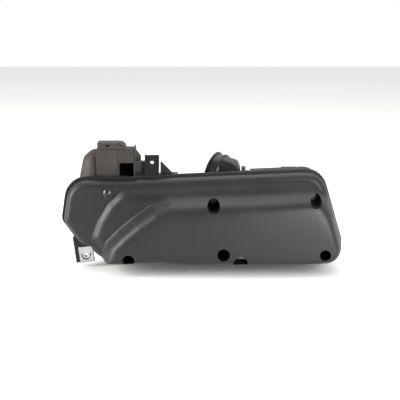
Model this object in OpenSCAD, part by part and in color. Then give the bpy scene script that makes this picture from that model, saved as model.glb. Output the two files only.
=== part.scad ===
// Air filter housing for a small two-wheeler engine: rear housing, front cover,
// flat filter element, intake snorkel, rubber carburettor boot and fixings.
// X runs along the housing, Y points from the cover to the engine, Z is up.

/* [Housing] */
// overall length of the cover's rim, mm
housing_length = 362; // [290:1:440]
// height of the cover's rim at its right-hand end, mm
housing_height = 118; // [98:1:142]
// depth of the rear housing behind the flange, mm
housing_depth = 62; // [54:1:76]
// depth of the cover's main face in front of the joint, mm
cover_depth = 54; // [46:1:66]
// moulded wall thickness, mm
wall = 2.4; // [1.8:0.1:3.2]

/* [Fixings] */
// radius of the access wells in the cover, mm
well_r = 8.1; // [6.8:0.1:9.8]
// nominal diameter of the cover's self-tapping screws, mm
screw_d = 5; // [4:0.5:6]
// radius of the engine bolt's tunnel, mm
tunnel_r = 9.3; // [8.5:0.1:11.5]
// bore radius of the engine bolt's steel sleeve, mm
sleeve_bore_r = 3.25; // [2.75:0.05:4.3]
// nominal diameter of the panel clip nuts' thread, mm
clip_thread_d = 5; // [4:0.5:6]

/* [Outlet] */
// outer radius of the moulded outlet neck, mm
neck_r = 16; // [14:0.5:19]
// bore radius of the boot's carburettor end, mm
mouth_bore_r = 22.5; // [19:0.5:27]

/* [Hidden] */
kx = housing_length / 362;
kz = housing_height / 118;
kd = housing_depth / 62;
kc = cover_depth / 54;
gap = 0.3;                       // air between pieces that part
run = 0.06;                      // radial running clearance
partition_x = 16.6 * kx;          // wall between the intake and clean rooms
arc = 11.25;
bolt_x = 48 * kx;
bolt_z = -39.5 * kz;
tunnel_floor = bolt_z - 3.4;
sleeve_len = 20;
sleeve_y = housing_depth + 2;    // engine side face of the sleeve
seal_t = 3;
flange_t = 3.5;
flange_y = gap + seal_t;         // front face of the flange
flange_back = flange_y + flange_t;
flange_shift = [-1.2, 1.4];      // the flange shows above and to the left of the cover
cover_wall = 2.2;
left_depth = 44 * kd;            // the left chamber is shallower
back = housing_depth;
pilot_r = screw_d / 2 + 0.05;
shank_r = screw_d / 2 - 0.3;
head_r = screw_d * 1.06;
boss_r = screw_d / 2 + 2.1;
well_floor = -4;
// access wells: two either side of the element, one at the lower left
wells = [[13.4 * kx, 33.5 * kz, well_r], [26 * kx, -27.6 * kz, well_r],
         [143 * kx, 39 * kz, well_r - 0.6], [155 * kx, -28.6 * kz, well_r - 0.9],
         [-95 * kx, -36.2 * kz, well_r - 0.3]];
lone_screw = [-123 * kx, 45 * kz];
lone_y = -14 * kc;
// filter element
el_x0 = 38 * kx;
el_x1 = 131 * kx;
el_z0 = bolt_z + tunnel_r + 8;
el_z1 = 46 * kz;
el_mid_z = (el_z0 + el_z1) / 2;
shelf_y = 15;
el_front = -6;
// outlet and boot
neck_y = 54 * kd;
neck_z = 42 * kz;
plenum_x = 66 * kx;
recess_x = -34 * kx;
recess_z = 20 * kz;
recess_y = 30 * kd;
boot_wall = 3.4;
sleeve_r = neck_r + run;
mouth_r = mouth_bore_r + 4.5;
mouth_x = 12.5 * kx;
mouth_y = neck_y + 10;
mouth_z = 60.5 * kz;
mouth_yaw = 25;
mouth_tip = 14;
mouth_len = 15;
// snorkel
sn_x = -114 * kx;
sn_z = 58 * kz;
sn_y0 = 10;
sn_y1 = 54 * kd;
sn_top = sn_z + 38;
inlet_w = 34;
inlet_d = 20;

// corner circles of the rim, counter-clockwise: x, z, radius
rim_right = [[-84 * kx, 38 * kz, 23], [-118 * kx, -18 * kz, 29],
             [158 * kx, -24 * kz, 23], [134 * kx, 44 * kz, 26.5]];
rim_left = [[-150 * kx, 33 * kz, 27], [-169 * kx, 9 * kz, 12], [-148 * kx, -10 * kz, 18],
            [-104 * kx, -10 * kz, 18], [-96 * kx, 33 * kz, 27]];
// terrace and main face of the cover
mid_front = [[-90 * kx, 27 * kz, 22], [-113 * kx, -20 * kz, 23],
             [154 * kx, -24 * kz, 21], [139 * kx, 33 * kz, 22]];
face_foot = [[-60 * kx, 21 * kz, 20], [-106 * kx, -24 * kz, 20],
             [154 * kx, -24 * kz, 20], [139 * kx, 28 * kz, 22]];
face_edge = [[-54 * kx, 14 * kz, 19], [-101 * kx, -19 * kz, 17],
             [150 * kx, -19 * kz, 17], [135 * kx, 22 * kz, 19]];
face_crown = [[-46 * kx, 8 * kz, 12], [-84 * kx, -13 * kz, 9],
              [134 * kx, -13 * kz, 9], [122 * kx, 12 * kz, 12]];

// the part's origin is the middle of the engine bolt's sleeve
module place() {
    translate([-bolt_x, sleeve_len / 2 - sleeve_y, -bolt_z])
        children();
}

// a flat shape drawn in X and Z, made solid from y0 back to y1
module slab(y0, y1) {
    translate([0, y1, 0])
        rotate([90, 0, 0])
            linear_extrude(height = y1 - y0)
                children();
}

// a round bar along Y
module ybar(x, z, r, y0, y1) {
    translate([x, y1, z])
        rotate([90, 0, 0])
            cylinder(h = y1 - y0, r = r, $fn = 48);
}

// a block given by its two corners
module block(a, b) {
    translate(a)
        cube(b - a);
}

// angle of the outer tangent's normal between two corner circles
function tang(a, b) =
    let (d = norm([b[0] - a[0], b[1] - a[1]]), t = atan2(b[1] - a[1], b[0] - a[0]))
    t - acos((a[2] - b[2]) / d);

// the closed line round a ring of corner circles, each grown by g
function ring(c, g) =
    [for (i = [0 : len(c) - 1])
        let (p = c[(i + len(c) - 1) % len(c)], q = c[i], n = c[(i + 1) % len(c)],
             a0 = tang(p, q), a1 = tang(q, n), a2 = a1 < a0 ? a1 + 360 : a1,
             k = ceil((a2 - a0) / arc))
        for (j = [0 : k])
            let (a = a0 + (a2 - a0) * j / k)
            [q[0] + (q[2] + g) * cos(a), q[1] + (q[2] + g) * sin(a)]];

// the arch that the rim makes over the engine bolt's tunnel
module arch(g) {
    translate([bolt_x, bolt_z])
        circle(r = tunnel_r + g, $fn = 48);
    translate([bolt_x - tunnel_r - g, bolt_z - 40])
        square([2 * (tunnel_r + g), 40]);
}

// the rim's whole shape, grown by g and arched n clear of the tunnel
module rim(g, n, shift = [0, 0]) {
    difference() {
        translate(shift) {
            polygon(ring(rim_right, g));
            polygon(ring(rim_left, g));
        }
        arch(n);
    }
}

// the cover's outer form, or with w the room inside it
module low_panel(w) {
    hull() {
        slab(w > 0 ? 0 : -0.5, w > 0 ? 2 : 0) polygon(ring(rim_left, -w));
        slab(-8 * kc + w, -8 * kc + w + 0.1) polygon(ring(rim_left, -2 - w));
        slab(-14 * kc + w, -14 * kc + w + 0.1) polygon(ring(rim_left, -9 - w));
    }
}

module terrace(w) {
    hull() {
        slab(w > 0 ? 0 : -0.5, w > 0 ? 2 : 0) polygon(ring(rim_right, -w));
        slab(-10 * kc + w, -10 * kc + w + 0.1) polygon(ring(rim_right, -4 - w));
        slab(-27 * kc + w, -27 * kc + w + 0.1) polygon(ring(mid_front, -w));
    }
}

module main_face(w) {
    hull() {
        slab(-20 * kc + w, -20 * kc + w + 0.1) polygon(ring(face_foot, -w));
        slab(-36 * kc + w, -36 * kc + w + 0.1) polygon(ring(face_foot, -2 - w));
        slab(-48 * kc + w, -48 * kc + w + 0.1) polygon(ring(face_edge, -w));
        slab(-cover_depth + w, -cover_depth + w + 0.1) polygon(ring(face_crown, -w));
    }
}

module front_cover() {
    color([0.11, 0.11, 0.115])
    place()
    difference() {
        union() {
            low_panel(0);
            terrace(0);
            main_face(0);
        }
        difference() {
            union() {
                low_panel(cover_wall);
                terrace(cover_wall);
                main_face(cover_wall);
            }
            for (s = wells) {
                ybar(s[0], s[1], s[2] + cover_wall, -cover_depth, -0.5);
            }
            ybar(lone_screw[0], lone_screw[1], boss_r + 0.6, -cover_depth, -0.5);
            slab(-cover_depth, 0) arch(cover_wall + 1);
        }
        for (s = wells) {
            ybar(s[0], s[1], s[2], -cover_depth - 5, well_floor);
            ybar(s[0], s[1], screw_d / 2 + 0.3, -cover_depth, 3);
        }
        ybar(lone_screw[0], lone_screw[1], screw_d / 2 + 0.3, -cover_depth, 3);
        slab(-cover_depth - 5, 3)
            intersection() {
                arch(0);
                translate([bolt_x - 40, tunnel_floor])
                    square([80, 60]);
            }
    }
}

module perimeter_seal() {
    color([0.03, 0.03, 0.03])
    place()
    slab(gap, flange_y)
        difference() {
            rim(-0.6, 1.6);
            rim(-3.3, 4.3);
        }
}

// a round bar along Z, and one along X
module zbar(x, y, r, z0, z1) {
    translate([x, y, z0])
        cylinder(h = z1 - z0, r = r, $fn = 48);
}

module xbar(y, z, r, x0, x1) {
    translate([x0, y, z])
        rotate([0, 90, 0])
            cylinder(h = x1 - x0, r = r, $fn = 64);
}

// where the lower bracket and its clip nut stand
bracket_x = -154.7 * kx;
bracket_z = -41.4 * kz;
bracket_tilt = -7.2;
tab_t = 3;
tab_y = 8;
tab_x = -66.3 * kx;
tab_top = 90 * kz;
clip_w = 18.6;
clip_h = 20.5;
leaf = 0.8;
bore_in_tab = clip_thread_d / 2 + 1.6;
ledge_x = -71 * kx;
ledge_z = 63 * kz;
ledge_ys = [18 * kd, 41 * kd];
drain_x = 110 * kx;
drain_y = 40 * kd;
drain_top = -41 * kz;
drain_r = 5;
drain_len = 13;
breather_x = -60 * kx;
breather_z = -6 * kz;
lug_y = back - 16;
post_x = [el_x0 - 7, el_x1 + 7];

module bracket_frame() {
    translate([bracket_x, 0, bracket_z])
        rotate([0, bracket_tilt, 0])
            children();
}

// round-topped box that takes the air from the element's room to the neck
module plenum(g) {
    x0 = plenum_x - wall + g;
    x1 = plenum_x + 44 * kx - g;
    xbar(neck_y, neck_z, neck_r + 2 - g, x0, x1);
    block([x0, recess_y + g, neck_z - neck_r - 4 + g], [x1, neck_y + neck_r + 2 - g, neck_z]);
    block([x0, recess_y + g, neck_z - 1], [x1, neck_y, neck_z + neck_r + 2 - g]);
}

// walls, shelf, bosses and posts that stand in the housing's room
module housing_inside() {
    difference() {
        block([partition_x, shelf_y, -100], [240, shelf_y + wall, 120]);
        block([el_x0 + 7, 0, el_z0 + 7], [el_x1 - 7, back, el_z1 - 7]);
    }
    block([partition_x, shelf_y, -100], [partition_x + wall, back, 120]);
    block([recess_x - wall, recess_y - wall, recess_z - wall], [plenum_x, back + 1, 120]);
    slab(flange_back - 0.5, back) arch(0.5 + wall);
    slab(0, flange_back) arch(6.6);
}

// bosses for the cover's and the element's screws
module housing_bosses() {
    for (s = wells) {
        in_recess = s[1] > recess_z - 4 && s[0] < plenum_x && s[0] > recess_x;
        ybar(s[0], s[1], boss_r, 0, in_recess ? recess_y - 1 : back - 1);
    }
    ybar(lone_screw[0], lone_screw[1], boss_r, 0, left_depth - 1);
    for (x = post_x) {
        ybar(x, el_mid_z, boss_r - 0.6, shelf_y - 1.7, recess_y - 1);
    }
}

module housing_shell() {
    difference() {
        union() {
            slab(flange_y, flange_back) rim(2.1, 0.5, flange_shift);
            slab(flange_y + 0.6, left_depth) difference() {
                polygon(ring(rim_left, -4));
                arch(0.5);
            }
            slab(flange_y + 0.6, back) difference() {
                polygon(ring(rim_right, -4));
                arch(0.5);
            }
            plenum(0);
        }
        // the rooms, less what stands in them
        difference() {
            union() {
                slab(0, left_depth - wall) polygon(ring(rim_left, -4 - wall));
                slab(0, back - wall) polygon(ring(rim_right, -4 - wall));
                plenum(wall);
            }
            housing_inside();
        }
        // the boot's recess, open at the top and back
        block([recess_x, recess_y, recess_z], [plenum_x - wall, 200, 200]);
    }
}

module rear_housing() {
    color([0.13, 0.125, 0.12])
    place()
    difference() {
        union() {
            housing_shell();
            housing_bosses();
            // rib that sits inside the cover's rim
            slab(-2.5, flange_y + 1) difference() {
                rim(-3.7, 4.7);
                rim(-5.5, 6.5);
            }
            // neck for the boot
            xbar(neck_y, neck_z, neck_r, plenum_x - wall - 14, plenum_x - 0.5);
            // socket for the snorkel
            block([sn_x - inlet_w / 2, 14, 50 * kz], [sn_x + inlet_w / 2, 14 + inlet_d, sn_z + 5]);
            for (y = ledge_ys) {
                zbar(ledge_x, y, boss_r, 50 * kz, ledge_z - 0.1);
            }
            // upper tab, its hook and gusset
            block([tab_x - 9, tab_y, 54 * kz], [tab_x + 9, tab_y + tab_t, tab_top]);
            block([tab_x + 11, tab_y, 54 * kz], [tab_x + 13.4, tab_y + 4, tab_top - 8]);
            slab(tab_y + 1.5, tab_y + 4)
                polygon([[tab_x + 12.4, 56 * kz], [tab_x + 29, 60 * kz],
                         [tab_x + 29, 65 * kz], [tab_x + 12.4, tab_top - 8]]);
            // locating pad on the upper right
            block([103 * kx, 14, 62 * kz], [122 * kx, 34, 71.5 * kz]);
            // lower bracket
            bracket_frame() {
                block([-14, tab_y, -clip_h / 2], [10.4, tab_y + tab_t, 24]);
                block([-14, tab_y, 6], [-11, tab_y + 12, 24]);
            }
            ybar(bolt_x, bolt_z, 10, lug_y, back);
            zbar(drain_x, drain_y, drain_r, drain_top - drain_len, drain_top);
            ybar(breather_x, breather_z, 6, back - 1, back + 18);
        }
        // room for the cover's well tubes in front of the bosses
        for (s = wells) {
            ybar(s[0], s[1], s[2] + cover_wall + gap, -4, 0);
        }
        for (s = wells) {
            ybar(s[0], s[1], pilot_r, -1, 16);
        }
        ybar(lone_screw[0], lone_screw[1], pilot_r, -1, 16);
        for (x = post_x) {
            ybar(x, el_mid_z, pilot_r - 0.7, 5, 26);
        }
        xbar(neck_y, neck_z, neck_r - 2.2, plenum_x - wall - 20, plenum_x + 4);
        block([sn_x - inlet_w / 2 + 2, 16, 49.8 * kz], [sn_x + inlet_w / 2 - 2, 12 + inlet_d, sn_z + 9]);
        for (y = ledge_ys) {
            zbar(ledge_x, y, pilot_r - 0.4, ledge_z - 11, ledge_z + 1);
        }
        ybar(tab_x, tab_top - 8.5, bore_in_tab, tab_y - 1, tab_y + tab_t + 1);
        bracket_frame() ybar(0.6, clip_eye - clip_h / 2 - 0.05, bore_in_tab, tab_y - 1, tab_y + tab_t + 1);
        ybar(bolt_x, bolt_z, 7, lug_y - 1, back + 1);
        zbar(drain_x, drain_y, drain_r - 2, drain_top - drain_len - 1, drain_top + 5);
        ybar(breather_x, breather_z, 4, back - 6, back + 20);
        // the air's way from the snorkel's chamber and the plenum's way in
        block([plenum_x + 4, recess_y - 6, neck_z - 14], [plenum_x + 40 * kx, back, neck_z + 12]);
    }
}

module screw_y(x, z, y, len, r, hr, hh) {
    ybar(x, z, hr, y - hh, y);
    translate([x, y - hh, z])
        rotate([90, 0, 0])
            cylinder(h = 1, r1 = hr, r2 = hr - 1.4, $fn = 48);
    ybar(x, z, r, y - 0.5, y + len);
}

module cross_recess(x, z, y) {
    block([x - 2.2, y, z - 0.45], [x + 2.2, y + 2.4, z + 0.45]);
    block([x - 0.45, y, z - 2.2], [x + 0.45, y + 2.4, z + 2.2]);
}

module cover_screws() {
    color([0.30, 0.30, 0.31])
    place()
    for (s = wells) {
        difference() {
            screw_y(s[0], s[1], well_floor, 16, shank_r, head_r, 2.6);
            cross_recess(s[0], s[1], well_floor - 4);
        }
    }
}

module front_screw() {
    color([0.20, 0.20, 0.21])
    place()
    difference() {
        union() {
            ybar(lone_screw[0], lone_screw[1], 6.1, lone_y - 1.2, lone_y);
            intersection() {
                translate([lone_screw[0], lone_y + 3.4, lone_screw[1]])
                    sphere(r = 6.9, $fn = 48);
                ybar(lone_screw[0], lone_screw[1], 6, lone_y - 5, lone_y);
            }
            ybar(lone_screw[0], lone_screw[1], shank_r, lone_y - 0.5, 12);
        }
        cross_recess(lone_screw[0], lone_screw[1], lone_y - 4);
    }
}

// the element lies in a frame with a lip, foam in the middle, grid in front
frame_back = shelf_y - 2;
frame_front = frame_back - 3;
frame_lip = 2;

module filter_foam() {
    color([0.16, 0.16, 0.17])
    place()
    block([el_x0 + frame_lip + 0.2, el_front + 2.5, el_z0 + frame_lip + 0.2],
          [el_x1 - frame_lip - 0.2, frame_front, el_z1 - frame_lip - 0.2]);
}

// a rectangular window with bars across it
module barred(x0, x1, z0, z1, y0, y1, n, m) {
    difference() {
        block([x0, y0, z0], [x1, y1, z1]);
        for (i = [0 : n - 1]) {
            for (j = [0 : m - 1]) {
                block([x0 + 5 + i * (x1 - x0 - 8) / n, y0 - 1, z0 + 5 + j * (z1 - z0 - 8) / m],
                      [x0 + 3 + (i + 1) * (x1 - x0 - 8) / n, y1 + 1,
                       z0 + 3 + (j + 1) * (z1 - z0 - 8) / m]);
            }
        }
    }
}

module element_frame() {
    color([0.10, 0.10, 0.10])
    place()
    difference() {
        union() {
            barred(el_x0, el_x1, el_z0, el_z1, frame_front, frame_back, 5, 4);
            difference() {
                block([el_x0, el_front, el_z0], [el_x1, frame_back, el_z1]);
                block([el_x0 + frame_lip, el_front - 1, el_z0 + frame_lip],
                      [el_x1 - frame_lip, frame_back + 1, el_z1 - frame_lip]);
            }
            for (s = [-1, 1]) {
                block([s > 0 ? el_x1 - 1 : el_x0 - 11.5, frame_front, el_mid_z - 5],
                      [s > 0 ? el_x1 + 11.5 : el_x0 + 1, frame_back, el_mid_z + 5]);
            }
        }
        for (x = post_x) {
            ybar(x, el_mid_z, shank_r + 0.2, frame_front - 1, frame_back + 1);
        }
    }
}

module element_grid() {
    color([0.10, 0.10, 0.10])
    place()
    barred(el_x0 + frame_lip + 0.1, el_x1 - frame_lip - 0.1, el_z0 + frame_lip + 0.1,
           el_z1 - frame_lip - 0.1, el_front + 0.4, el_front + 2.5, 4, 3);
}

module element_seal() {
    color([0.03, 0.03, 0.03])
    place()
    difference() {
        block([el_x0 + 0.5, frame_back, el_z0 + 0.5], [el_x1 - 0.5, shelf_y - gap, el_z1 - 0.5]);
        block([el_x0 + 5, frame_back - 1, el_z0 + 5], [el_x1 - 5, shelf_y + 1, el_z1 - 5]);
    }
}

module element_screws() {
    color([0.62, 0.62, 0.64])
    place()
    for (x = post_x) {
        difference() {
            screw_y(x, el_mid_z, frame_front, 13, shank_r - 0.5, head_r - 1, 2);
            cross_recess(x, el_mid_z, frame_front - 3.4);
        }
    }
}

module outlet_trumpet() {
    color([0.12, 0.12, 0.12])
    place()
    translate([0, neck_y, neck_z])
        rotate([0, 90, 0])
            difference() {
                union() {
                    translate([0, 0, plenum_x - wall - 12])
                        cylinder(h = wall + 12 + 0.2, r = neck_r - 2.2 - 0.05, $fn = 64);
                    translate([0, 0, plenum_x])
                        cylinder(h = 9, r1 = neck_r - 2.2, r2 = neck_r - 0.6, $fn = 64);
                }
                translate([0, 0, plenum_x - wall - 13])
                    cylinder(h = wall + 14, r = neck_r - 4.2, $fn = 64);
                translate([0, 0, plenum_x])
                    cylinder(h = 9.5, r1 = neck_r - 4.2, r2 = neck_r - 2.2, $fn = 64);
            }
}

// the snorkel's outer form, or with w the room inside it
sn_left = sn_x - 27;
sn_right = sn_x + 14;
sn_mid_y = (sn_y0 + sn_y1) / 2;
sn_r = (sn_y1 - sn_y0) / 2 - 0.3;
mouth_x0 = sn_x + 5.2;
mouth_x1 = sn_x + 24.4;

module snorkel_form(w) {
    translate([sn_left, sn_mid_y, sn_z + w])
        cylinder(h = 26 - w, r1 = sn_r - w, r2 = sn_r - 6 - w, $fn = 72);
    translate([sn_left, sn_mid_y, sn_z + 26])
        cylinder(h = 10 - w, r1 = sn_r - 6 - w, r2 = 6 - w / 2, $fn = 72);
    translate([sn_right, sn_mid_y, sn_z + w])
        cylinder(h = 28 - w, r = 18.5 - w, $fn = 72);
    translate([sn_right, sn_mid_y, sn_z + 28])
        cylinder(h = 9 - w, r1 = 18.5 - w, r2 = 12 - w, $fn = 72);
    block([sn_left, sn_mid_y - 15 + w, sn_z + w], [sn_right, sn_mid_y + 15 - w, sn_z + 32 - w]);
    block([sn_x - 24.6 + w, sn_y0 + w, sn_z + w], [sn_x + 26 - w, sn_mid_y + 5 - w, sn_top + 2 - w]);
}

module snorkel_body() {
    color([0.22, 0.205, 0.195])
    place()
    difference() {
        union() {
            snorkel_form(0);
            // screw ledge, tower and fin on the right
            block([sn_x + 25, 12, ledge_z], [ledge_x + 6, ledge_ys[1] + 7, ledge_z + 3]);
            block([sn_x + 25, 14, sn_z + 2], [sn_x + 38, 26, sn_z + 23]);
            block([sn_x + 24.5, sn_y0, sn_z], [sn_x + 26, sn_mid_y, sn_top + 5]);
            // stop tab on the left of the front
            block([sn_left - 4, sn_y0 + 1.2, sn_z + 2], [sn_left + 1, sn_mid_y - 12, sn_z + 12]);
        }
        snorkel_form(2);
        // open front, closed by the front panel, and open top under the cap
        block([sn_x - 22, sn_y0 - 1, sn_z + 2], [sn_x + 23.6, sn_y0 + 3, sn_top]);
        block([sn_x - 18, sn_y0 + 4, sn_top - 2], [sn_x + 10, sn_mid_y - 3, sn_top + 4]);
        // socket over the housing's neck
        block([sn_x - inlet_w / 2 - 0.1, 13.9, sn_z - 1],
              [sn_x + inlet_w / 2 + 0.1, 14.1 + inlet_d, sn_z + 6]);
        for (y = ledge_ys) {
            zbar(ledge_x, y, screw_d / 2 + 0.1, ledge_z - 1, ledge_z + 4);
        }
    }
}

module snorkel_front() {
    color([0.22, 0.205, 0.195])
    place()
    difference() {
        union() {
            block([sn_x - 24.6, sn_y0 - 2.2, sn_z + 0.4], [sn_x + 24.2, sn_y0, sn_top + 1.8]);
            block([sn_x + 1.2, sn_y0 - 2.8, sn_z + 0.4], [sn_x + 3, sn_y0, sn_top + 1.8]);
            block([mouth_x0 - 1.6, sn_y0 - 2.8, sn_z + 1], [mouth_x1 + 1.4, sn_y0, sn_z + 24]);
            // spigot ribs that sit inside the body's open front
            block([sn_x - 21.6, sn_y0 - 1, sn_z + 4], [sn_x - 20, sn_y0 + 2.6, sn_top - 4]);
        }
        block([mouth_x0, sn_y0 - 9, sn_z + 2.6], [mouth_x1, sn_y0 + 1, sn_z + 22.6]);
    }
}

module snorkel_cap() {
    color([0.21, 0.195, 0.185])
    place()
    difference() {
        union() {
            block([sn_x - 23, sn_y0 - 1.6, sn_top + 2], [sn_x + 5, sn_mid_y, sn_top + 10.6]);
            translate([sn_x + 5, sn_mid_y, sn_top + 2])
                rotate([90, 0, 0])
                    intersection() {
                        cylinder(h = sn_mid_y - sn_y0 + 1.6, r = 8.6, $fn = 64);
                        translate([-1, 0, -1]) cube([20, 20, 60]);
                    }
        }
        block([sn_x - 21, sn_y0 + 0.4, sn_top + 1], [sn_x + 5, sn_mid_y - 2, sn_top + 8.6]);
        block([sn_x - 12, sn_y0 - 3, sn_top + 6], [sn_x - 7, sn_y0 + 1, sn_top + 8]);
    }
}

module snorkel_screws() {
    color([0.30, 0.30, 0.31])
    place()
    for (y = ledge_ys) {
        difference() {
            union() {
                zbar(ledge_x, y, head_r - 0.6, ledge_z + 3, ledge_z + 5.4);
                zbar(ledge_x, y, pilot_r - 0.45, ledge_z - 9, ledge_z + 4);
            }
            block([ledge_x - 2.2, y - 0.45, ledge_z + 3.6], [ledge_x + 2.2, y + 0.45, ledge_z + 6]);
            block([ledge_x - 0.45, y - 2.2, ledge_z + 3.6], [ledge_x + 0.45, y + 2.2, ledge_z + 6]);
        }
    }
}

// flat rubber ring between the snorkel's foot and the housing's top
module snorkel_seal() {
    color([0.03, 0.03, 0.03])
    place()
    difference() {
        block([sn_x - inlet_w / 2 - 5, 10, sn_z - 1.9], [sn_x + inlet_w / 2 + 4, 18 + inlet_d, sn_z]);
        block([sn_x - inlet_w / 2 - 0.1, 13.9, sn_z - 4],
              [sn_x + inlet_w / 2 + 0.1, 14.1 + inlet_d, sn_z + 1]);
    }
}

sleeve_x0 = plenum_x - wall - 14.4;
sleeve_x1 = plenum_x - wall - gap;

module mouth_frame() {
    translate([mouth_x, mouth_y, mouth_z])
        rotate([0, 90 - mouth_tip, 180 - mouth_yaw])
            children();
}

module carb_boot() {
    color([0.035, 0.035, 0.036])
    place()
    difference() {
        union() {
            xbar(neck_y, neck_z, sleeve_r + boot_wall, sleeve_x0, sleeve_x1);
            hull() {
                xbar(neck_y, neck_z, sleeve_r + boot_wall - 0.4, sleeve_x0 + 1, sleeve_x0 + 1.5);
                mouth_frame()
                    translate([0, 0, 1 - mouth_len])
                        cylinder(h = 0.5, r = mouth_r - 1.8, $fn = 64);
            }
            mouth_frame() {
                translate([0, 0, -mouth_len])
                    cylinder(h = mouth_len, r = mouth_r - 1.4, $fn = 64);
                translate([0, 0, -3])
                    cylinder(h = 3, r = mouth_r, $fn = 64);
                translate([0, 0, -mouth_len])
                    cylinder(h = 2.6, r = mouth_r, $fn = 64);
            }
        }
        xbar(neck_y, neck_z, sleeve_r, sleeve_x0 + 0.4, sleeve_x1 + 1);
        hull() {
            xbar(neck_y, neck_z, sleeve_r - 2.2, sleeve_x0, sleeve_x0 + 0.8);
            mouth_frame()
                translate([0, 0, -0.3 - mouth_len])
                    cylinder(h = 0.5, r = mouth_bore_r - 0.3, $fn = 64);
        }
        mouth_frame()
            translate([0, 0, -mouth_len])
                cylinder(h = mouth_len + 1, r = mouth_bore_r, $fn = 64);
    }
}

ring_x0 = sleeve_x0 + 2.5;
ring_w = 5.4;
ring_r = sleeve_r + boot_wall;
ear_top = neck_z + ring_r + 6;

module boot_ring() {
    color([0.10, 0.10, 0.11])
    place()
    difference() {
        union() {
            xbar(neck_y, neck_z, ring_r + 1.2, ring_x0, ring_x0 + ring_w);
            block([ring_x0, neck_y - 4, ear_top - 9], [ring_x0 + ring_w, neck_y - 2, ear_top]);
            block([ring_x0, neck_y + 2, ear_top - 9], [ring_x0 + ring_w, neck_y + 4, ear_top]);
        }
        xbar(neck_y, neck_z, ring_r + 0.02, ring_x0 - 1, ring_x0 + ring_w + 1);
        block([ring_x0 - 1, neck_y - 2, neck_z + ring_r - 3],
              [ring_x0 + ring_w + 1, neck_y + 2, ear_top + 1]);
        ybar(ring_x0 + ring_w / 2, ear_top - 2.6, 1.6, neck_y - 9, neck_y + 9);
    }
}

module boot_ring_screw() {
    color([0.55, 0.55, 0.57])
    place()
    difference() {
        union() {
            ybar(ring_x0 + ring_w / 2, ear_top - 2.6, 2.5, neck_y - 6, neck_y - 4);
            ybar(ring_x0 + ring_w / 2, ear_top - 2.6, 1.55, neck_y - 5, neck_y + 7);
            ybar(ring_x0 + ring_w / 2, ear_top - 2.6, 2.6, neck_y + 4, neck_y + 6.2);
        }
        block([ring_x0, neck_y - 7, ear_top - 3], [ring_x0 + ring_w, neck_y - 5.2, ear_top - 2.2]);
    }
}

module drain_cap() {
    color([0.04, 0.04, 0.04])
    place()
    difference() {
        union() {
            zbar(drain_x, drain_y, drain_r + 2.2, drain_top - drain_len - 4, drain_top - 5);
            zbar(drain_x, drain_y, drain_r + 3, drain_top - 7, drain_top - 5);
        }
        zbar(drain_x, drain_y, drain_r + run, drain_top - drain_len - 2, drain_top);
    }
}

module drain_clip() {
    color([0.60, 0.60, 0.62])
    place()
    difference() {
        union() {
            zbar(drain_x, drain_y, drain_r + 3.2, drain_top - 13, drain_top - 9);
            block([drain_x - 2.6, drain_y + drain_r + 2.6, drain_top - 13],
                  [drain_x - 1.7, drain_y + drain_r + 9, drain_top - 9]);
            block([drain_x + 1.7, drain_y + drain_r + 2.6, drain_top - 13],
                  [drain_x + 2.6, drain_y + drain_r + 9, drain_top - 9]);
        }
        zbar(drain_x, drain_y, drain_r + 2.22, drain_top - 14, drain_top - 8);
    }
}

module mount_grommet() {
    color([0.04, 0.04, 0.04])
    place()
    difference() {
        union() {
            ybar(bolt_x, bolt_z, 7, sleeve_y - sleeve_len, sleeve_y);
            ybar(bolt_x, bolt_z, 9.2, sleeve_y - sleeve_len, lug_y);
            ybar(bolt_x, bolt_z, 9.2, back, sleeve_y);
        }
        ybar(bolt_x, bolt_z, 5, 0, sleeve_y + 1);
    }
}

module mount_sleeve() {
    color([0.66, 0.66, 0.68])
    place()
    difference() {
        ybar(bolt_x, bolt_z, 5, sleeve_y - sleeve_len, sleeve_y);
        ybar(bolt_x, bolt_z, sleeve_bore_r, 0, sleeve_y + 1);
    }
}

// a folded spring-steel clip nut on a tab, standing at x = 0 with its fold at z = 0
module clip_nut(s) {
    fold = tab_t + 2 * leaf + 0.1;
    difference() {
        union() {
            block([-clip_w / 2, tab_y - 0.05 - leaf, s > 0 ? 0 : -15.5],
                  [clip_w / 2, tab_y - 0.05, s > 0 ? clip_h : 0]);
            block([-clip_w / 2, tab_y + tab_t + 0.05, s > 0 ? 0 : -15.5],
                  [clip_w / 2, tab_y + tab_t + 0.05 + leaf, s > 0 ? clip_h - 3 : 0]);
            block([-clip_w / 2, tab_y - 0.05 - leaf, s > 0 ? -leaf : 0],
                  [clip_w / 2, tab_y - 0.05 - leaf + fold, s > 0 ? 0 : leaf]);
            ybar(0, s * clip_eye, clip_thread_d / 2 + 1.4, tab_y + tab_t + 0.05, tab_y + tab_t + 4);
        }
        ybar(0, s * clip_eye, clip_thread_d / 2, 0, tab_y + 30);
        // slot that frees the front leaf's tongue
        difference() {
            ybar(0, s * clip_eye, 6.2, tab_y - 2, tab_y - 0.04);
            ybar(0, s * clip_eye, 5, tab_y - 3, tab_y + 1);
            block([-7, tab_y - 3, s * clip_eye + 2], [7, tab_y + 1, s * clip_eye + 8]);
        }
    }
}
clip_eye = 9.2;

module lower_clip_nut() {
    color([0.75, 0.75, 0.76])
    place()
    bracket_frame()
        translate([0.6, 0, -clip_h / 2 - 0.05])
            clip_nut(1);
}

module upper_clip_nut() {
    color([0.09, 0.09, 0.10])
    place()
    translate([tab_x, 0, tab_top + 0.05])
        clip_nut(-1);
}

rear_housing();
perimeter_seal();
front_cover();
cover_screws();
front_screw();
filter_foam();
element_frame();
element_grid();
element_seal();
element_screws();
outlet_trumpet();
snorkel_body();
snorkel_front();
snorkel_cap();
snorkel_screws();
snorkel_seal();
carb_boot();
boot_ring();
boot_ring_screw();
drain_cap();
drain_clip();
mount_grommet();
mount_sleeve();
lower_clip_nut();
upper_clip_nut();
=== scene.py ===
import math

import bmesh
import bpy
import numpy as np
from mathutils import Matrix, Vector


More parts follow.
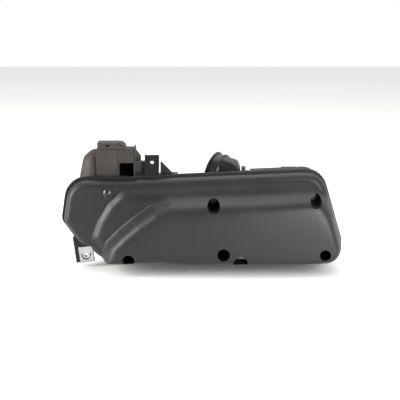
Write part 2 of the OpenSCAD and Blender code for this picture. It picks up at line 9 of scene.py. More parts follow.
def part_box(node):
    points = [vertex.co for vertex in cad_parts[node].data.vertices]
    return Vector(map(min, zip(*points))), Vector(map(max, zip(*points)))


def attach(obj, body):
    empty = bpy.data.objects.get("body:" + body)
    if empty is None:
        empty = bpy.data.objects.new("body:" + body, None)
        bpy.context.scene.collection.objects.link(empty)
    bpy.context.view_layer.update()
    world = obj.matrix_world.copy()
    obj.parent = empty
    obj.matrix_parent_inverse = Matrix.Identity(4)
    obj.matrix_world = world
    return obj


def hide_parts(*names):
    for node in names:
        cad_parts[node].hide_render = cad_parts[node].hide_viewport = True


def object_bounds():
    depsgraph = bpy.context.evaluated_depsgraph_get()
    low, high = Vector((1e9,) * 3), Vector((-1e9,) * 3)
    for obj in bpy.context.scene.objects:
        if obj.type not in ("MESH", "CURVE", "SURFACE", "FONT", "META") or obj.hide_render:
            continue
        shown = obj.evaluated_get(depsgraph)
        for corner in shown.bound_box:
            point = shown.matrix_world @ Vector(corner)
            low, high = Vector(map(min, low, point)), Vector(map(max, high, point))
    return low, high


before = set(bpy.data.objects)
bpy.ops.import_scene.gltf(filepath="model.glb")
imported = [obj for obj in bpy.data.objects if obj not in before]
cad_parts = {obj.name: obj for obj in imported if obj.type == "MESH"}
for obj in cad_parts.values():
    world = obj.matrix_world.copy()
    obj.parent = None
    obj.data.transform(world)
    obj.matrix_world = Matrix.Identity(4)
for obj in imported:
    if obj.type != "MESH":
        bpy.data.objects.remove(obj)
cad_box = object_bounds()

# Camera ---------------------------------------------------------------------
# A long lens in front of the cover and a little above it. Everything below is
# drawn in millimetres about the middle of the cover's joint, with x along the
# housing, y towards the engine and z up, and is put in its place by at().

BOLT_FROM_JOINT = Vector((48.0, 54.0, -39.5))
MM = 0.001


def at(x, y, z):
    return (Vector((x, y, z)) - BOLT_FROM_JOINT) * MM


CAMERA_TILT = math.radians(12.0)
CAMERA_AWAY = 1400.0
FRAME_WIDTH = 520.0
LOOK_AT = (-3.9, 0.0, 33.2)

lens = bpy.data.cameras.new("camera")
lens.sensor_width = 36.0
lens.lens = 36.0 * CAMERA_AWAY / FRAME_WIDTH
camera = bpy.data.objects.new("camera", lens)
bpy.context.scene.collection.objects.link(camera)
camera.location = at(
    LOOK_AT[0],
    LOOK_AT[1] - CAMERA_AWAY * math.cos(CAMERA_TILT),
    LOOK_AT[2] + CAMERA_AWAY * math.sin(CAMERA_TILT),
)
camera.rotation_euler = (math.pi / 2 - CAMERA_TILT, 0.0, 0.0)
bpy.context.scene.camera = camera
bpy.context.scene.view_settings.view_transform = "Standard"

# Studio ---------------------------------------------------------------------
# A plain pale floor under soft boxes: a tall one far out on the left, a small
# one at the front right and a broad warm one high up behind, in a white surround
# that is dim in front.


def linear(hex_colour):
    parts = [int(hex_colour[i : i + 2], 16) / 255 for i in (1, 3, 5)]
    return [c / 12.92 if c <= 0.04045 else ((c + 0.055) / 1.055) ** 2.4 for c in parts] + [1.0]


def new_material(name):
    """A material with only its shader and output, and its tree."""
    material = bpy.data.materials.new(name)
    material.use_nodes = True
    return material, material.node_tree, material.node_tree.nodes["Principled BSDF"]


def add(tree, kind, links=(), **settings):
    """Adds a node; settings are its own, links are (input, value or socket)."""
    made = tree.nodes.new(kind)
    for key, value in settings.items():
        setattr(made, key, value)
    for key, value in links:
        if isinstance(value, bpy.types.NodeSocket):
            tree.links.new(value, made.inputs[key])
        else:
            made.inputs[key].default_value = value
    return made


def show(name, bm, smooth_angle=30.0):
    """Makes an object of a bmesh that is already in its place, in metres."""
    mesh = bpy.data.meshes.new(name)
    bm.to_mesh(mesh)
    bm.free()
    made = bpy.data.objects.new(name, mesh)
    bpy.context.scene.collection.objects.link(made)
    mesh.polygons.foreach_set("use_smooth", [True] * len(mesh.polygons))
    mesh.set_sharp_from_angle(angle=math.radians(smooth_angle))
    return made


floor_material, tree, shader = new_material("white_paper_sweep")
shader.inputs["Base Color"].default_value = linear("#f7f7f6")
shader.inputs["Roughness"].default_value = 0.9
paper = add(tree, "ShaderNodeTexNoise", [("Scale", 40.0), ("Detail", 3.0)])
tree.links.new(
    add(tree, "ShaderNodeBump", [("Strength", 0.02), ("Height", paper.outputs["Fac"])]).outputs[0],
    shader.inputs["Normal"],
)

FLOOR_HALF = 3.0
FLOOR_GAP = 0.5 * MM
bm = bmesh.new()
bmesh.ops.create_grid(bm, x_segments=1, y_segments=1, size=FLOOR_HALF)
bmesh.ops.translate(bm, verts=bm.verts, vec=(0.0, 0.0, cad_box[0][2] - FLOOR_GAP))
floor = show("studio_floor", bm)
floor.data.materials.append(floor_material)

world = bpy.data.worlds.new("studio")
bpy.context.scene.world = world
world.use_nodes = True
tree = world.node_tree
sky = add(tree, "ShaderNodeTexCoord").outputs["Generated"]
way = add(tree, "ShaderNodeSeparateXYZ", [("Vector", sky)])
depth = add(
    tree, "ShaderNodeMapRange",
    [
        ("Value", way.outputs["Y"]), ("From Min", -0.95), ("From Max", 0.15),
        ("To Min", 0.04), ("To Max", 1.0),
    ],
    interpolation_type="SMOOTHSTEP",
)
to_right = add(
    tree, "ShaderNodeMapRange",
    [
        ("Value", way.outputs["X"]), ("From Min", -0.5), ("From Max", 0.5),
        ("To Min", 0.0), ("To Max", 0.25),
    ],
)
white = add(
    tree, "ShaderNodeMath", [(0, depth.outputs[0]), (1, to_right.outputs[0])], operation="ADD", use_clamp=True
)
tree.links.new(white.outputs[0], tree.nodes["Background"].inputs["Strength"])
tree.nodes["Background"].inputs["Color"].default_value = (1.0, 1.0, 1.0, 1.0)


def softbox(name, place, aim, width, height, power, colour):
    light = bpy.data.lights.new(name, "AREA")
    light.shape = "RECTANGLE"
    light.size = width
    light.size_y = height
    light.energy = power
    light.color = colour
    made = bpy.data.objects.new(name, light)
    bpy.context.scene.collection.objects.link(made)
    made.location = at(*place)
    turn = (at(*aim) - made.location).to_track_quat("-Z", "Y")
    made.rotation_euler = turn.to_euler()


softbox("softbox_left", (-1400, -420, 420), (-80, -20, 20), 0.7, 1.1, 36.0, (1.0, 0.98, 0.95))
softbox("softbox_right", (360, -500, 130), (60, 0, 0), 0.35, 0.35, 4.4, (0.98, 0.99, 1.0))
softbox("softbox_top", (100, 600, 1400), (20, 60, -40), 1.8, 1.4, 13.0, (1.0, 0.93, 0.86))

# Front cover ----------------------------------------------------------------
# One large injection moulding in black-grey polypropylene with a fine satin
# grain. It rises from a low panel over a terrace to a crowned main face, and
# six screws hold it, five of them at the bottom of round wells.

COVER_WALL = 2.2
TUNNEL_WALL = 3.2
SCREW_CLEARANCE = 2.8
LONE_BOSS = 5.2
RIM_RIGHT = ((-84, 38, 23), (-118, -18, 29), (158, -24, 23), (134, 44, 26.5))
RIM_LEFT = ((-150, 33, 27), (-169, 9, 12), (-148, -10, 18), (-104, -10, 18), (-96, 33, 27))
RIDGE = ((-78, 80), (-94, 55), (-119.6, 28.4), (-132.6, 7.1), (-141.7, -16.8), (-146, -60))
FACE = (
    (-128, -90), (-127, -36), (-119.6, -19.2), (-106, -5.2), (-86.2, 12.1), (-63.7, 28.3),
    (-42, 35.5), (-15, 37), (70, 40), (126, 43), (145, 43), (157, 38), (165, 26), (200, -20),
    (200, -90),
)
WELLS = (
    (13.4, 33.5, 8.1), (26.0, -27.6, 8.1), (143.0, 39.0, 7.5), (155.0, -28.6, 7.2),
    (-95.0, -36.2, 7.8),
)
LONE_SCREW = (-123.0, 45.0)
TUNNEL = (48.0, -39.5, 9.3)
TUNNEL_FLOOR = -42.9

# The cover's rises: the low panel's rounded rim (width, height), the band over
# the ridge, the main face's crown, and the widths of the crease and shoulder by
# which one climbs to the next. The outer edge is rolled over a width that is
# larger at the right end and at the dip over the ridge.
RIM_ROUND = (9.0, 13.0)
LOW_TILT = 0.03
BAND_FOOT, BAND_SLOPE, BAND_TOP, BAND_TILT = 6.0, 0.95, 20.5, 0.12
RIDGE_STEP = (10.5, 3.5)
FACE_STEP = (15.0, 5.0)
CROWN_TOP, CROWN_RISE = 48.0, 5.0
CROWN_MIDDLE, CROWN_HALF = 40.0, (160.0, 60.0)
ROLL, ROLL_AT_RIGHT, ROLL_AT_DIP, ROLL_HEIGHT = 17.0, 5.0, 12.0, 60.0
DIP_X, DIP_SPREAD = -62.0, 26.0
RIM_REACH = 26.0
RIM_POINTS = (220, 60)


def corners_ring(corners, grow=0.0, step=5.0):
    """The closed line round some corner circles (x, z, radius)."""
    count = len(corners)

    def tangent(a, b):
        away = math.hypot(b[0] - a[0], b[1] - a[1])
        turn = math.degrees(math.atan2(b[1] - a[1], b[0] - a[0]))
        return turn - math.degrees(math.acos((a[2] - b[2]) / away))

    line = []
    for i, (x, z, radius) in enumerate(corners):
        first = tangent(corners[i - 1], corners[i])
        last = tangent(corners[i], corners[(i + 1) % count])
        while last < first:
            last += 360.0
        parts = max(1, math.ceil((last - first) / step))
        for k in range(parts + 1):
            angle = math.radians(first + (last - first) * k / parts)
            line.append((x + (radius + grow) * math.cos(angle), z + (radius + grow) * math.sin(angle)))
    return np.array(line)


def reach(line, start, way):
    """Where a line from start along way enters and leaves a convex ring."""
    edge = np.roll(line, -1, axis=0) - line
    keep = np.hypot(*edge.T) > 1e-6
    normal = np.column_stack([edge[keep, 1], -edge[keep, 0]])
    room = np.einsum("ij,ij->i", normal, line[keep] - start)
    along = normal @ way
    ahead, behind = along > 1e-9, along < -1e-9
    leaves = float((room[ahead] / along[ahead]).min())
    enters = float((room[behind] / along[behind]).max())
    return (enters, leaves) if enters < leaves and leaves > 0 else (1e9, 0.0)


def rim_distance(rings, start, way):
    """How far the edge of two joined rings is from start along way."""
    far = 0.0
    for _ in rings:
        for enters, leaves in (reach(ring, start, way) for ring in rings):
            if enters <= far + 4.0:
                far = max(far, leaves)
    return far


def away_from(points, line, closed):
    """Each point's distance from a line, and the line's side it is on."""
    ends = np.roll(line, -1, axis=0) if closed else line[1:]
    starts = line if closed else line[:-1]
    best = np.full(len(points), 1e9)
    side = np.zeros(len(points))
    for a, b in zip(starts, ends):
        edge = b - a
        if edge @ edge < 1e-9:
            continue
        rel = points - a
        t = np.clip(rel @ edge / (edge @ edge), 0.0, 1.0)
        gap = np.hypot(*(rel - t[:, None] * edge).T)
        nearer = gap < best
        cross = edge[0] * rel[:, 1] - edge[1] * rel[:, 0]
        best = np.where(nearer, gap, best)
        side = np.where(nearer, np.sign(cross), side)
    return best, side


def rise(t):
    t = np.clip(t, 0.0, 1.0)
    return t * t * (3 - 2 * t)


def swell(past, foot, shoulder):
    """A step that starts in a tight crease and ends in a broad soft shoulder."""
    return np.where(past < 0, rise(past / foot + 0.5), 1 - 0.5 * np.exp(-np.maximum(past, 0) / shoulder))


def rounded(distance, width, height):
    return height * np.sqrt(1 - (1 - np.clip(distance / width, 0, 1)) ** 2)


def lesser(a, b, blend):
    t = np.clip(0.5 + 0.5 * (b - a) / blend, 0, 1)
    return b * (1 - t) + a * t - blend * t * (1 - t)


def spine_point(t):
    """A point of the line that the cover's rings close in on."""
    knots = np.array([(-150, 14), (-118, 12), (-60, 8), (20, 8), (132, 8)], dtype=float)
    lengths = np.hypot(*np.diff(knots, axis=0).T)
    marks = np.concatenate([[0], np.cumsum(lengths)]) / lengths.sum()
    return np.array([np.interp(t, marks, knots[:, 0]), np.interp(t, marks, knots[:, 1])])


def cover_rim(along, round_end):
    """Points round the rim, each with the point of the middle line it looks in at."""
    right, left = corners_ring(RIM_RIGHT), corners_ring(RIM_LEFT)
    rays = []
    for side in (-1, 1):
        steps = np.linspace(0, 1, along + 1)
        for t in steps if side < 0 else steps[::-1]:
            rays.append((spine_point(t), np.array([0.0, side])))
        end = spine_point(1.0 if side < 0 else 0.0)
        for a in np.linspace(-90, 90, round_end + 2)[1:-1]:
            turn = math.radians(a if side < 0 else a + 180)
            rays.append((end, np.array([math.cos(turn), math.sin(turn)])))
    line = np.array([s + w * rim_distance((left, right), s, w) for s, w in rays])
    for _ in range(6):
        line = 0.5 * line + 0.25 * (np.roll(line, 1, axis=0) + np.roll(line, -1, axis=0))
    return line, np.array([s for s, w in rays])


RIM_LINE, _ = cover_rim(*RIM_POINTS)


def cover_height(points):
    """How far the cover's outside stands in front of the joint."""
    x, z = points[:, 0], points[:, 1]
    edge, _ = away_from(points, RIM_LINE, True)
    ridge, ridge_side = away_from(points, np.array(RIDGE, dtype=float), False)
    past_ridge = ridge * ridge_side
    face, face_side = away_from(points, np.array(FACE, dtype=float), True)
    in_face = -face * face_side
    low = rounded(edge, *RIM_ROUND) + LOW_TILT * np.maximum(edge - RIM_ROUND[0], 0)
    slope = BAND_FOOT * np.clip(edge / 2.0, 0, 1) ** 0.5 + BAND_SLOPE * np.maximum(edge - 1.5, 0)
    band = lesser(slope, BAND_TOP + BAND_TILT * np.clip(past_ridge, 0, 30), 4.0)
    height = low + (np.maximum(band, low) - low) * swell(past_ridge, *RIDGE_STEP)
    over_x = 1 - ((x - CROWN_MIDDLE) / CROWN_HALF[0]) ** 2
    over_z = 1 - (z / CROWN_HALF[1]) ** 2
    crown = CROWN_TOP + CROWN_RISE * over_x * over_z
    height = np.minimum(height, crown)
    height = height + (crown - height) * swell(in_face - 1.0, *FACE_STEP)
    right = rise((x - 120) / 50)
    dip = np.exp(-(((x - DIP_X) / DIP_SPREAD) ** 2))
    width = ROLL + ROLL_AT_RIGHT * right + ROLL_AT_DIP * dip
    return lesser(height, rounded(edge, width, ROLL_HEIGHT), 7.0)


def cover_shell(rings_out, rings_in, inset):
    """The cover's outside, or with an inset the room behind it, as a closed shell."""
    rim, root = cover_rim(*RIM_POINTS)
    around = len(rim)
    span = np.hypot(*(root - rim).T)
    way = (root - rim) / span[:, None]
    near = RIM_REACH * (1 - np.cos(np.linspace(0, math.pi / 2, rings_out)))
    far = np.linspace(0, 1, rings_in + 1)[1:]
    bm = bmesh.new()
    bmesh.ops.create_grid(bm, x_segments=around, y_segments=rings_out + rings_in - 1, size=1.0)
    bm.verts.ensure_lookup_table()
    across = around + 1
    deep = np.minimum(RIM_REACH, 0.55 * span)
    spots = []
    for v in bm.verts:
        i, j = (v.index % across) % around, v.index // across
        if j < rings_out:
            d = near[j] * deep[i] / RIM_REACH
        else:
            d = deep[i] + (span[i] - deep[i]) * far[j - rings_out]
        spots.append(rim[i] + way[i] * d if d < span[i] - 1e-6 else root[i])
    spots = np.array(spots)
    for v, (x, z), h in zip(bm.verts, spots, cover_height(spots)):
        v.co = (x, -h, z)
    bmesh.ops.remove_doubles(bm, verts=bm.verts, dist=0.01)
    bmesh.ops.recalc_face_normals(bm, faces=bm.faces)
    if sum(f.normal.y * f.calc_area() for f in bm.faces) > 0:
        bmesh.ops.reverse_faces(bm, faces=bm.faces)
    if inset:
        bm.normal_update()
        for v in bm.verts:
            v.co -= v.normal * inset
    edge_loop = [e for e in bm.edges if e.is_boundary]
    if inset:
        for v in {v for e in edge_loop for v in e.verts}:
            v.co.y = 0.0
        made = bmesh.ops.extrude_edge_only(bm, edges=edge_loop)["geom"]
        bmesh.ops.translate(
            bm, verts=[g for g in made if isinstance(g, bmesh.types.BMVert)], vec=(0, 3, 0)
        )
        edge_loop = [e for e in bm.edges if e.is_boundary]
    bmesh.ops.edgeloop_fill(bm, edges=edge_loop)
    bmesh.ops.recalc_face_normals(bm, faces=bm.faces)
    return bm


def bar_y(x, z, radius, front, back, segments=72, into=None):
    """A round bar along y, in a bmesh of its own unless it is put into one."""
    bm = bmesh.new() if into is None else into
    made = bmesh.ops.create_cone(
        bm, cap_ends=True, segments=segments, radius1=radius, radius2=radius, depth=back - front
    )["verts"]
    turn = Matrix.Translation((x, (front + back) / 2, z)) @ Matrix.Rotation(math.pi / 2, 4, "X")
    bmesh.ops.transform(bm, matrix=turn, verts=made)
    return bm


def block(low, high):
    """A rectangular block between two corners."""
    bm = bmesh.new()
    made = bmesh.ops.create_cube(bm, size=1.0)["verts"]
    low, high = Vector(low), Vector(high)
    place = Matrix.Translation((low + high) / 2) @ Matrix.Diagonal((*(high - low), 1.0))
    bmesh.ops.transform(bm, matrix=place, verts=made)
    return bm


def trimmed(bm, tools, operation="DIFFERENCE"):
    """The bmesh with another cut from it or joined to it, both in millimetres."""
    base = show("work_base", bm)
    other = show("work_tool", tools)
    step = base.modifiers.new("trim", "BOOLEAN")
    step.object = other
    step.operation = operation
    step.solver = "MANIFOLD"
    ready = base.evaluated_get(bpy.context.evaluated_depsgraph_get()).to_mesh()
    result = bmesh.new()
    result.from_mesh(ready)
    base.to_mesh_clear()
    for made in (base, other):
        data = made.data
        bpy.data.objects.remove(made)
        bpy.data.meshes.remove(data)
    return result


# The room behind the cover keeps clear of the wells, the lone screw's boss and
# the bolt tunnel with its walls.
OPEN_FRONT, OPEN_BACK = -70, 8
room = cover_shell(12, 16, COVER_WALL)
keep = bmesh.new()
for x, z, r in WELLS:
    bar_y(x, z, r + COVER_WALL, OPEN_FRONT, -0.5, into=keep)
bar_y(*LONE_SCREW, LONE_BOSS, OPEN_FRONT, -0.5, into=keep)
room = trimmed(room, keep)
room = trimmed(room, bar_y(TUNNEL[0], TUNNEL[1], TUNNEL[2] + TUNNEL_WALL, OPEN_FRONT, OPEN_BACK))
tunnel_side = TUNNEL[2] + TUNNEL_WALL
room = trimmed(
    room,
    block((TUNNEL[0] - tunnel_side, OPEN_FRONT, -80), (TUNNEL[0] + tunnel_side, OPEN_BACK, TUNNEL[1])),
)
bm = trimmed(cover_shell(16, 34, 0.0), room)
WELL_FLOOR = -4
for x, z, r in WELLS:
    bm = trimmed(bm, bar_y(x, z, r, -80, WELL_FLOOR))
    bm = trimmed(bm, bar_y(x, z, SCREW_CLEARANCE, -10, 5, 32))
bm = trimmed(bm, bar_y(*LONE_SCREW, SCREW_CLEARANCE, -40, 5, 32))

# The bolt tunnel is a round bore behind the face and an open slot below it.
bore = bar_y(*TUNNEL, -80, 10)
under = block((TUNNEL[0] - 20, -90, TUNNEL[1] - 40), (TUNNEL[0] + 20, -11, TUNNEL_FLOOR))
bm = trimmed(bm, trimmed(bore, under))
bm = trimmed(
    bm, block((TUNNEL[0] - TUNNEL[2], -11.05, -80), (TUNNEL[0] + TUNNEL[2], 10, TUNNEL[1]))
)
TO_FRAME = Matrix.Scale(MM, 4) @ Matrix.Translation(-BOLT_FROM_JOINT)
bmesh.ops.transform(bm, matrix=TO_FRAME, verts=bm.verts)
cover = show("front_cover_moulding", bm, 40.0)
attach(cover, "cover")
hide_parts("front_cover")


def grained(
    name, colour, light_colour, roughness, cloud_mm, grain_mm, grain_depth,
    metallic=0.0, ior=1.49, shine=0.5,
):
    """A finish with a cloudy tone, uneven gloss and a fine grain, on sizes in mm."""
    material, tree, shader = new_material(name)
    place = add(tree, "ShaderNodeTexCoord").outputs["Object"]
    cloud = add(
        tree, "ShaderNodeTexNoise",
        [("Vector", place), ("Scale", 1000.0 / cloud_mm), ("Detail", 5.0), ("Roughness", 0.6)],
    )
    fine = add(
        tree, "ShaderNodeTexNoise", [("Vector", place), ("Scale", 1000.0 / grain_mm), ("Detail", 2.0)]
    )
    spread = add(
        tree, "ShaderNodeMapRange", [("Value", cloud.outputs["Fac"]), ("From Min", 0.3), ("From Max", 0.7)]
    )
    tone = add(
        tree, "ShaderNodeMix",
        [(0, spread.outputs[0]), (6, linear(colour)), (7, linear(light_colour))],
        data_type="RGBA",
    )
    tree.links.new(tone.outputs[2], shader.inputs["Base Color"])
    gloss = add(
        tree, "ShaderNodeMapRange",
        [("Value", spread.outputs[0]), ("To Min", roughness - 0.05), ("To Max", roughness + 0.05)],
    )
    tree.links.new(gloss.outputs[0], shader.inputs["Roughness"])
    bump = add(
        tree, "ShaderNodeBump",
        [("Strength", grain_depth), ("Distance", 0.0001), ("Height", fine.outputs["Fac"])],
    )
    tree.links.new(bump.outputs[0], shader.inputs["Normal"])
    if metallic:
        shader.inputs["Metallic"].default_value = metallic
    else:
        shader.inputs["IOR"].default_value = ior
        shader.inputs["Specular IOR Level"].default_value = shine
    return material


# Polypropylene out of a spark-eroded mould: blue-black, satin, with a grain of
# about 0.4 mm and very faint cloudy flow marks.
cover_pp = grained("cover_polypropylene", "#1b1c1e", "#212122", 0.42, 45.0, 0.4, 0.4, shine=0.34)
cover.data.materials.append(cover_pp)

# Rear housing ---------------------------------------------------------------
# The black-brown polypropylene tray and filter room behind the cover, with its
# bosses, brackets and spigots moulded on. It carries everything else.


def dress(node, material):
    """Gives a carried-over solid its material."""
    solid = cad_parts[node]
    solid.data.materials.clear()
    solid.data.materials.append(material)


def round_edges(piece, width_mm, angle):
    ease = piece.modifiers.new("eased_edges", "BEVEL")
    ease.width = width_mm * MM
    ease.segments = 2
    ease.limit_method = "ANGLE"
    ease.angle_limit = math.radians(angle)


def eased(node, name, material, body, width_mm=0.5, angle=35.0):
    """A copy of a solid with its loose triangles merged and its edges rounded."""
    bm = bmesh.new()
    bm.from_mesh(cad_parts[node].data)
    bmesh.ops.remove_doubles(bm, verts=bm.verts, dist=0.000005)
    bmesh.ops.dissolve_limit(bm, angle_limit=math.radians(1.0), verts=bm.verts, edges=bm.edges)
    piece = show(name, bm, angle)
    piece.data.materials.append(material)
    round_edges(piece, width_mm, angle)
    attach(piece, body)
    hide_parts(node)


# The same resin as the cover from a coarser mould, so flatter and browner.
housing_pp = grained("housing_polypropylene", "#191716", "#211e1b", 0.55, 30.0, 0.5, 0.6, shine=0.3)
eased("rear_housing", "rear_housing_moulding", housing_pp, "housing", 0.8, 40.0)

# Seals ----------------------------------------------------------------------
# Cellular EPDM cords and rings, pressed into their grooves: dull, sooty black
# with a fine open skin.
seal_rubber = grained("cellular_epdm", "#0b0b0b", "#121212", 0.8, 6.0, 0.6, 0.8, ior=1.5)
for node in ("perimeter_seal", "element_seal", "snorkel_seal"):
    dress(node, seal_rubber)

# Screws ---------------------------------------------------------------------
# Thread-forming screws with a round head and a cross recess, black zinc plated:
# dark metal with a soft sheen, worn a little lighter in patches.
screw_black = grained("black_zinc_plate", "#3a3b3e", "#56575b", 0.32, 3.0, 0.3, 0.15, metallic=1.0)
bright_zinc = grained("bright_zinc_plate", "#a9abac", "#c4c6c8", 0.30, 5.0, 0.4, 0.12, metallic=1.0)
for node in ("cover_screws", "snorkel_screws"):
    dress(node, screw_black)
eased("front_screw", "lone_cover_screw", screw_black, "cover", 0.35, 40.0)
for node in ("element_screws", "mount_sleeve", "boot_ring_screw", "drain_clip"):
    dress(node, bright_zinc)

# Filter element -------------------------------------------------------------
# An oiled open-cell foam block in a black moulded frame, held by a grid in
# front: the foam is green-grey and pitted by its cells, with painted shade in the pits.
element_black = grained("frame_polypropylene", "#141414", "#1b1b1b", 0.5, 12.0, 0.5, 0.4)
for node in ("element_frame", "element_grid", "outlet_trumpet"):
    dress(node, element_black)

foam_cells, tree, shader = new_material("oiled_open_cell_foam")
place = add(tree, "ShaderNodeTexCoord").outputs["Object"]
CELL_MM = 1.4
cells = add(tree, "ShaderNodeTexVoronoi", [("Vector", place), ("Scale", 1000.0 / CELL_MM)])
# The ramp darkens the green-grey towards the cell edges, where the inverted bump sinks the surface: painted
# shade in the pits.
deep = add(tree, "ShaderNodeValToRGB", [("Fac", cells.outputs["Distance"])])
deep.color_ramp.elements[0].color = linear("#3a3c2f")
deep.color_ramp.elements[1].color = linear("#0c0d0a")
tree.links.new(deep.outputs["Color"], shader.inputs["Base Color"])
pits = add(
    tree, "ShaderNodeBump",
    [("Strength", 0.8), ("Distance", 0.0005), ("Height", cells.outputs["Distance"])], invert=True,
)
tree.links.new(pits.outputs[0], shader.inputs["Normal"])
shader.inputs["Roughness"].default_value = 0.75

low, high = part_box("filter_foam")
bm = bmesh.new()
foam_verts = bmesh.ops.create_cube(bm, size=1.0)["verts"]
FOAM_GAP, FOAM_ROUND = 0.8 * MM, 2.2 * MM
size = (high - low) - Vector((FOAM_GAP, FOAM_GAP, FOAM_GAP))
place = Matrix.Translation((low + high) / 2) @ Matrix.Diagonal((*size, 1.0))
bmesh.ops.transform(bm, matrix=place, verts=foam_verts)
bmesh.ops.bevel(
    bm, geom=list(bm.edges), affect="EDGES", offset=FOAM_ROUND, segments=3, profile=0.5, material=-1
)
long_edges = [e for e in bm.edges if e.calc_length() > 0.02]
bmesh.ops.subdivide_edges(bm, edges=long_edges, cuts=6, use_grid_fill=True)
foam = show("filter_foam_block", bm, 60.0)
foam.data.materials.append(foam_cells)
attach(foam, "element")
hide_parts("filter_foam")

# Snorkel --------------------------------------------------------------------
# The intake in talc-filled polypropylene, screwed to the housing's top: matt,
# warm brown-grey, in a body, a welded-on front plate with the mouth, a cap, and
# a thin domed shoulder on either side.
LEFT_MIDDLE, RIGHT_MIDDLE, SHOULDER_Y = -141.0, -100.0, 32.0
SHOULDER_WALL = 1.6
snorkel_pp = grained("snorkel_polypropylene", "#2b2825", "#35312d", 0.60, 18.0, 0.6, 0.9, shine=0.36)
eased("snorkel_body", "snorkel_body_moulding", snorkel_pp, "housing", 0.5)
eased("snorkel_front", "snorkel_front_plate", snorkel_pp, "housing", 0.6)
eased("snorkel_cap", "snorkel_cap_moulding", snorkel_pp, "housing", 0.9)


def shoulder(centre, profile, inset=0.0):
    """A solid dome, spun about its middle from (radius, height) points."""
    bm = bmesh.new()
    drop = 4.0 if inset else 0.0
    line = [bm.verts.new((0, 0, profile[0][1] - drop))]
    for k, (out, up) in enumerate(profile):
        line.append(bm.verts.new((max(out - inset, 0.0), 0, up - (drop if k == 0 else inset))))
    edges = [bm.edges.new(pair) for pair in zip(line, line[1:])]
    bmesh.ops.spin(
        bm, geom=line + edges, cent=(0, 0, 0), axis=(0, 0, 1), dvec=(0, 0, 0),
        angle=2 * math.pi, steps=72, use_merge=True,
    )
    bmesh.ops.remove_doubles(bm, verts=bm.verts, dist=0.01)
    bmesh.ops.recalc_face_normals(bm, faces=bm.faces)
    bmesh.ops.translate(bm, verts=bm.verts, vec=(centre, SHOULDER_Y, 0))
    return bm


LEFT_PROFILE = (
    (22.0, 58.2), (20.9, 64.0), (19.4, 71.0), (17.9, 78.0), (17.0, 82.0), (15.8, 84.8), (13.4, 87.8),
    (10.4, 90.6), (7.2, 93.0), (3.8, 94.8), (0.0, 95.6),
)
RIGHT_PROFILE = (
    (18.7, 80.0), (18.4, 84.0), (17.2, 87.5), (14.8, 91.0), (11.0, 93.8), (6.0, 95.3), (0.0, 95.8),
)
for name, centre, profile in (
    ("snorkel_left_shoulder", LEFT_MIDDLE, LEFT_PROFILE),
    ("snorkel_right_shoulder", RIGHT_MIDDLE, RIGHT_PROFILE),
):
    bm = trimmed(shoulder(centre, profile), shoulder(centre, profile, SHOULDER_WALL))
    bm = trimmed(bm, block((-137.0, -10, 40), (-60.0, 36.0, 97.9)))
    bmesh.ops.transform(bm, matrix=TO_FRAME, verts=bm.verts)
    piece = show(name, bm, 50.0)
    piece.data.materials.append(snorkel_pp)
    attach(piece, "housing")

# Carburettor boot -----------------------------------------------------------
# Moulded nitrile rubber, satin black. It runs from the housing's neck up to a
# round mouth with a lip, a groove for the hose clamp and a bead, and a flat rib
# down its back stiffens it.
boot_rubber = grained(
    "nitrile_rubber", "#0c0c0d", "#131314", 0.30, 9.0, 0.8, 0.25, ior=1.52, shine=0.4
)
BOOT_WALL = 3.2
MOUTH = Vector((12.5, 64.0, 60.5))
MOUTH_WAY = Vector((-0.8794, 0.4101, 0.2419))
NECK_Y, NECK_Z = 54.0, 42.0
RIB_WAY = Vector((0.35, -0.62, 0.70)).normalized()


def boot_ring_at(bm, centre, way, radius, rib):
    """One ring of the boot, swollen by rib where it faces RIB_WAY."""
    turn = way.to_track_quat("Z", "Y").to_matrix().to_4x4()
    made = bmesh.ops.create_circle(
        bm, cap_ends=False, segments=72, radius=radius, matrix=Matrix.Translation(centre) @ turn
    )["verts"]
    for v in made:
        out = (v.co - centre).normalized()
        facing = out.dot(RIB_WAY)
        v.co += out * rib * rise(np.array([(facing - 0.90) / 0.03]))[0]
    return list({e for v in made for e in v.link_edges})


bm = bmesh.new()
LIP_R, GROOVE_R, BEAD_R, TUBE_R = 27.0, 25.2, 26.8, 25.4
BEND_START, BEND_END = 14.8, Vector((50.4, NECK_Y, 45.0))
sections = [
    (MOUTH, 26.2, 0), (MOUTH - MOUTH_WAY * 0.4, LIP_R, 0), (MOUTH - MOUTH_WAY * 2.8, LIP_R, 0),
    (MOUTH - MOUTH_WAY * 3.3, GROOVE_R, 0), (MOUTH - MOUTH_WAY * 11.4, GROOVE_R, 0),
    (MOUTH - MOUTH_WAY * 11.9, BEAD_R, 0), (MOUTH - MOUTH_WAY * 14.0, BEAD_R, 0),
    (MOUTH - MOUTH_WAY * BEND_START, TUBE_R, 0.3),
]
loops = [boot_ring_at(bm, c, MOUTH_WAY, r, rib) for c, r, rib in sections]
start = MOUTH - MOUTH_WAY * BEND_START
for t in (0.12, 0.25, 0.4, 0.55, 0.7, 0.85, 0.97):
    lift = Vector((0, 0, 6.0 * math.sin(math.pi * t) * t))
    bend = start.lerp(BEND_END, t) + lift
    way = MOUTH_WAY.lerp(Vector((-1, 0, 0)), t * t).normalized()
    loops.append(boot_ring_at(bm, bend, way, TUBE_R - 2.6 * t, 1.5))
for x, r in ((50.2, 20.8), (51.4, 19.6), (57.5, 19.6), (58.0, 20.6), (62.6, 20.6), (63.2, 20.0)):
    loops.append(boot_ring_at(bm, Vector((x, NECK_Y, NECK_Z)), Vector((-1, 0, 0)), r, 0))
for near, far in zip(loops, loops[1:]):
    bmesh.ops.bridge_loops(bm, edges=near + far)
bmesh.ops.recalc_face_normals(bm, faces=bm.faces)
bmesh.ops.transform(bm, matrix=TO_FRAME, verts=bm.verts)
boot = show("carb_boot_moulding", bm, 45.0)
wall = boot.modifiers.new("wall", "SOLIDIFY")
wall.thickness = BOOT_WALL * MM
wall.offset = -1.0
boot.data.materials.append(boot_rubber)
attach(boot, "housing")
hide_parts("carb_boot")

for node in ("mount_grommet", "drain_cap"):
    dress(node, boot_rubber)

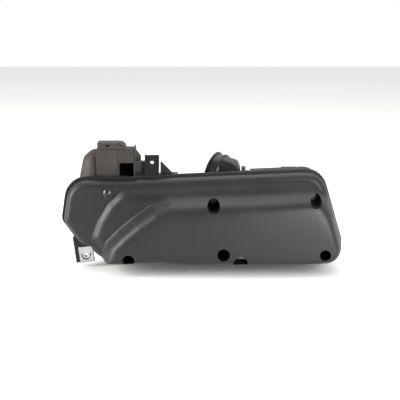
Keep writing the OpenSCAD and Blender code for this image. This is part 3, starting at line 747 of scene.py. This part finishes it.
# Clamp and clip nuts --------------------------------------------------------
# The boot's band clamp and the upper clip nut are phosphated spring steel; the
# lower clip nut is the same stamping, bright zinc plated.
spring_steel = grained(
    "phosphated_spring_steel", "#0c0c0e", "#17171a", 0.48, 4.0, 0.3, 0.3, shine=0.22
)
dress("boot_ring", spring_steel)

# The upper nut is one strip folded over: a long leaf in front with a countersink
# round the eye and two slits, and a short leaf behind with the threaded collar.
# The front leaf hangs about 6 mm lower than the real nut's, a black sheet that
# paints the shade on the housing tab below it.
NUT_X, NUT_Z = -66.3, 80.85
# The long front leaf's extra length below the real nut is painted shade on the tab.
NUT_HALF, NUT_TOP, LEAF_LONG_PAINTED_SHADE, LEAF_SHORT = 9.3, 10.0, 12.4, 6.3
LEAF_FRONT, LEAF_BACK, STEEL = (7.1, 7.95), (11.05, 11.85), 0.8


def leaf(bottom, front, back):
    """A flat leaf of the folded nut, from bottom up to the fold."""
    return block(
        (NUT_X - NUT_HALF, front, NUT_Z + bottom), (NUT_X + NUT_HALF, back, NUT_Z + NUT_TOP)
    )


leaves = leaf(-LEAF_LONG_PAINTED_SHADE, *LEAF_FRONT)
corners = [
    e for e in leaves.edges
    if abs((e.verts[0].co - e.verts[1].co).y) > 0.1 and e.verts[0].co.z < NUT_Z - LEAF_SHORT
]
bmesh.ops.bevel(
    leaves, geom=corners, affect="EDGES", offset=2.0, segments=5, profile=0.5, material=-1
)
leaves = trimmed(leaves, leaf(-LEAF_SHORT, *LEAF_BACK), "UNION")
leaves = trimmed(leaves, leaf(NUT_TOP - STEEL, LEAF_FRONT[0], LEAF_BACK[1]), "UNION")
COLLAR_R, COUNTERSINK_R, EYE_R, SLIT_X = 3.9, 5.6, 2.5, 6.6
leaves = trimmed(leaves, bar_y(NUT_X, NUT_Z, COLLAR_R, 11.2, 15.0, 40), "UNION")
for radius, front, back in ((COUNTERSINK_R, 6.0, 7.5), (EYE_R, 6.0, 18.0)):
    leaves = trimmed(leaves, bar_y(NUT_X, NUT_Z, radius, front, back, 40))
for side in (-1, 1):
    slit = NUT_X + side * SLIT_X
    leaves = trimmed(leaves, block((slit - 0.5, 6.5, NUT_Z - 5.0), (slit + 0.5, 8.2, NUT_Z + 7.0)))
bmesh.ops.transform(leaves, matrix=TO_FRAME, verts=leaves.verts)
upper_nut = show("upper_clip_nut_stamping", leaves, 40.0)
round_edges(upper_nut, 0.25, 40.0)
upper_nut.data.materials.append(spring_steel)
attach(upper_nut, "housing")
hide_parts("upper_clip_nut")
eased("lower_clip_nut", "lower_clip_nut_stamping", bright_zinc, "housing", 0.3)
